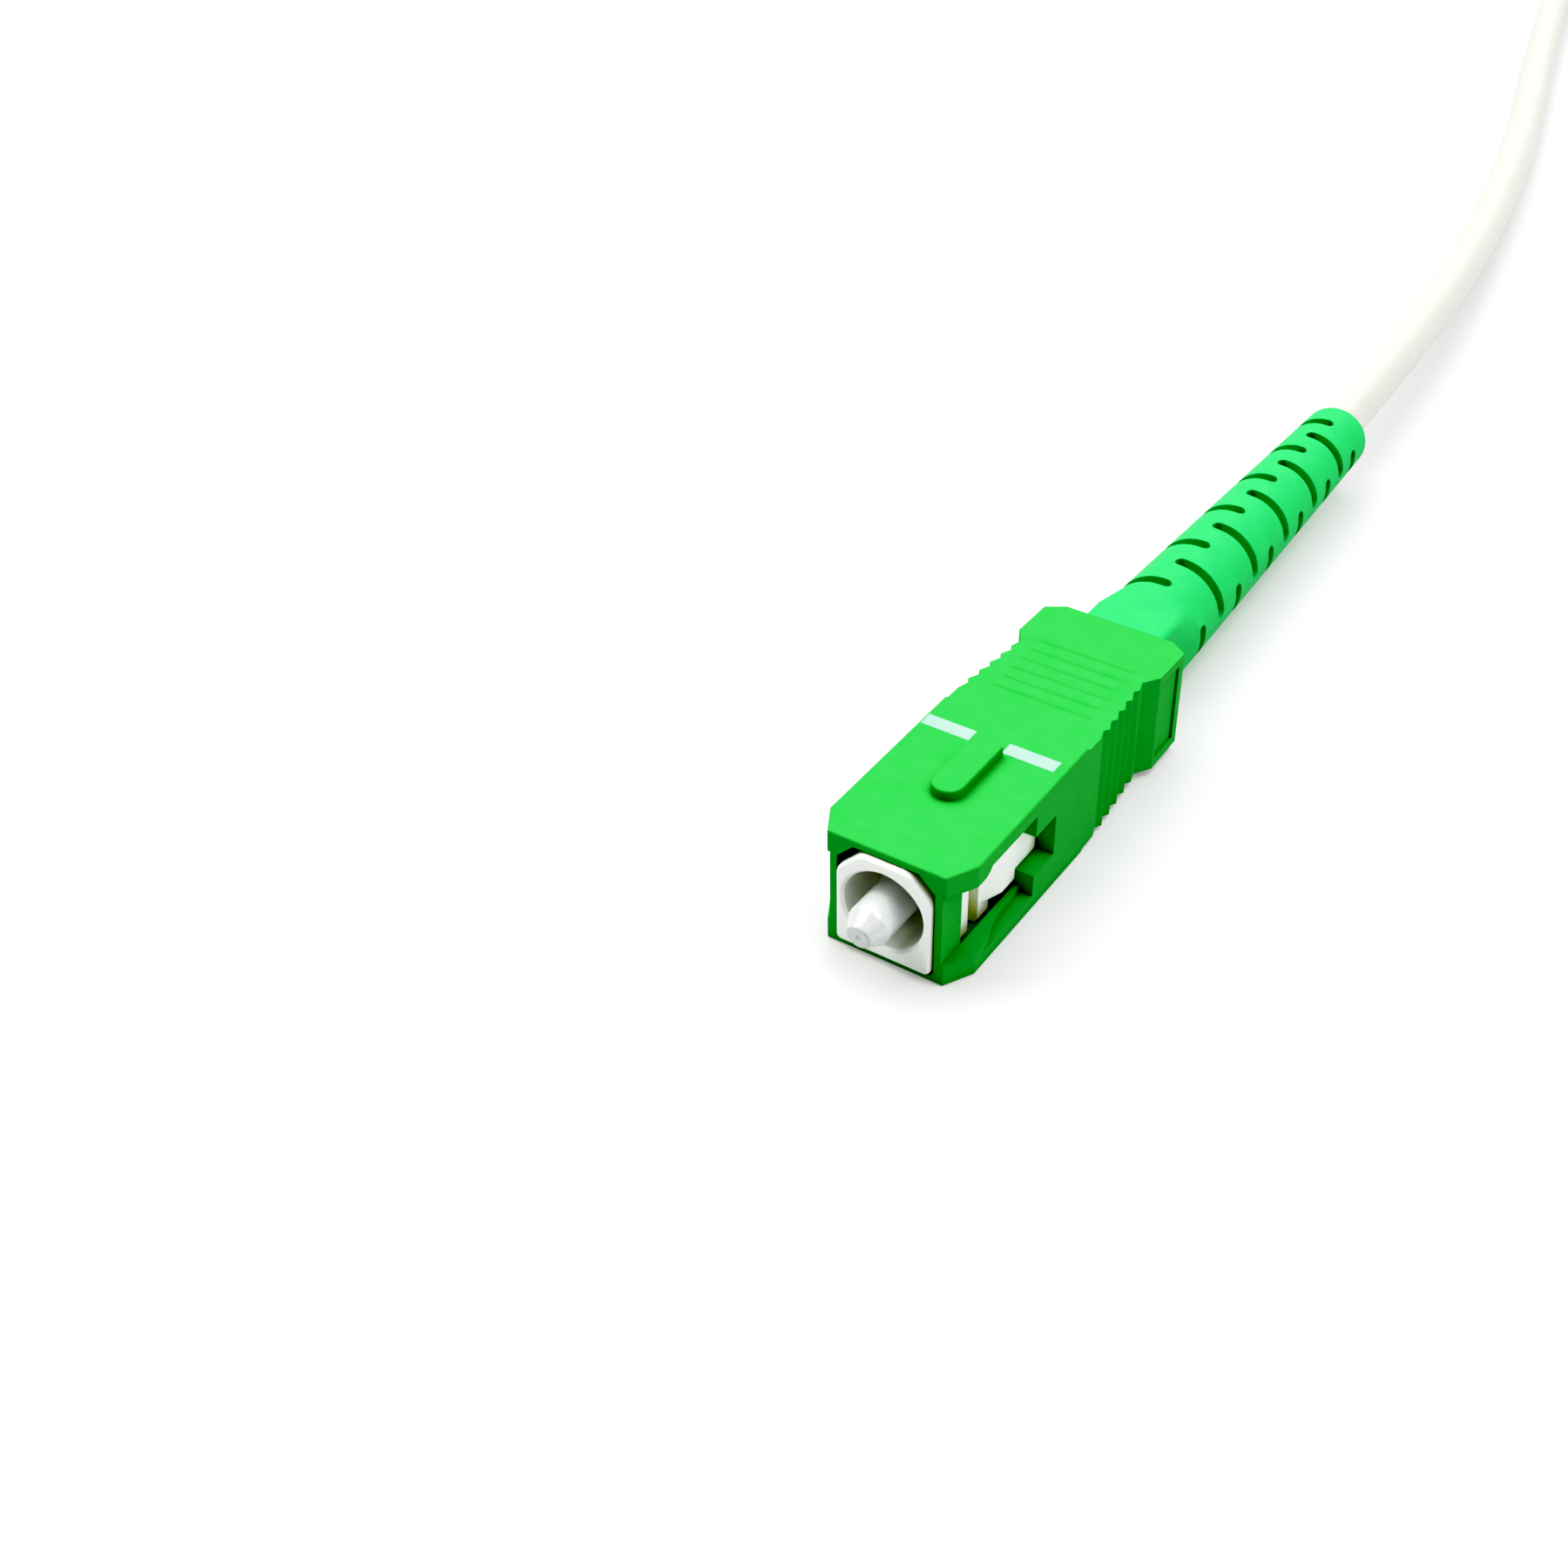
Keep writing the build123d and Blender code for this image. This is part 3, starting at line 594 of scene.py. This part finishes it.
def printed_mark(name, left, right, material):
    """One thin printed bar on the grip's top."""
    shape = bmesh.new()
    bmesh.ops.create_cube(shape, size=1)
    size = Vector((right - left, MARK_TO - MARK_FROM, 2 * MARK_THICKNESS))
    middle = Vector(((left + right) / 2, (MARK_FROM + MARK_TO) / 2, GRIP_TOP))
    bmesh.ops.scale(shape, vec=size, verts=shape.verts)
    bmesh.ops.translate(shape, vec=middle, verts=shape.verts)
    piece = mesh_object(name, shape, material)
    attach(piece, "grip")


def printed_marks():
    """The two marks beside the grip's key."""
    ink = print_ink()
    for number, (left, right) in enumerate(MARK_SPANS, start=1):
        printed_mark(f"mark_{number}", left, right, ink)


def dress(material, *nodes):
    """Gives CAD nodes their finish."""
    for node in nodes:
        NODES[node].data.materials.clear()
        NODES[node].data.materials.append(material)


def dress_nodes():
    """The finish of every CAD node that stays."""
    dress(grip_plastic(), "grip_housing")
    dress(frame_plastic(), "plug_frame")
    dress(ceramic(), "ferrule")
    dress(boot_rubber(), "strain_boot")
    dress(plated_brass(), "ferrule_flange", "rear_body")
    dress(sleeve_steel(), "crimp_sleeve")
    dress(guide_plastic(), "guide_tube")
    dress(buffer_plastic(), "fibre_buffer")
    dress(fibre_glass(), "bare_fibre")
    dress(yarn(), "aramid_yarn")


def floor():
    """Plain pale floor."""
    shape = bmesh.new()
    bmesh.ops.create_grid(shape, x_segments=1, y_segments=1, size=FLOOR_SIZE / 2)
    bmesh.ops.translate(shape, vec=(0, 0, -FLOOR_GAP), verts=shape.verts)
    material, _, shader = new_material("floor_paper")
    set_values(shader, {
        "Base Color": FLOOR_COLOUR,
        "Emission Color": WHITE,
        "Emission Strength": FLOOR_GLOW,
        "Roughness": 0.9,
        "Specular IOR Level": 0.1,
    })
    mesh_object("floor", shape, material)


def surroundings():
    """White surroundings that light the connector only faintly."""
    world = bpy.data.worlds.new("studio")
    world.use_nodes = True
    tree = world.node_tree
    background = tree.nodes["Background"]
    background.inputs["Color"].default_value = WHITE
    rays = tree.nodes.new("ShaderNodeLightPath")
    strength = spread(tree, rays.outputs["Is Camera Ray"], WHOLE, (WORLD_LIGHT, WORLD_SEEN))
    tree.links.new(strength, background.inputs["Strength"])
    bpy.context.scene.world = world


def tone():
    """The picture's tone curve."""
    settings = bpy.context.scene.view_settings
    settings.view_transform = "Standard"
    settings.use_curve_mapping = True
    for place in TONE_POINTS:
        settings.curve_mapping.curves[TONE_CURVE].points.new(*place)
    settings.curve_mapping.update()


def area_light(name, place, size, power):
    """A soft square light that shines at the connector."""
    light = bpy.data.lights.new(name, "AREA")
    light.size = size
    light.energy = power
    obj = link(bpy.data.objects.new(name, light))
    obj.location = place
    obj.rotation_euler = (-Vector(place)).to_track_quat("-Z", "Y").to_euler()


def studio():
    """Overhead light, two softboxes that streak the polished ferrule, and a low light on the right."""
    surroundings()
    tone()
    for name, place, size, power in LIGHTS:
        area_light(name, place, size, power)


def camera():
    """Camera at the photograph's place."""
    data = bpy.data.cameras.new("camera")
    data.sensor_width = CAMERA_SENSOR
    data.sensor_height = CAMERA_SENSOR
    data.sensor_fit = "HORIZONTAL"
    data.lens = CAMERA_LENS
    data.clip_start = CAMERA_NEAR
    obj = link(bpy.data.objects.new("camera", data))
    forward = Vector(CAMERA_FORWARD).normalized()
    right = Vector(CAMERA_RIGHT)
    right = (right - right.dot(forward) * forward).normalized()
    up = right.cross(forward)
    turn = Matrix((right, up, -forward)).transposed()
    obj.matrix_world = Matrix.Translation(CAMERA_PLACE) @ turn.to_4x4()
    bpy.context.scene.camera = obj


camera()
studio()
floor()
dress_nodes()
cable(coil_tie())
spring()
printed_marks()
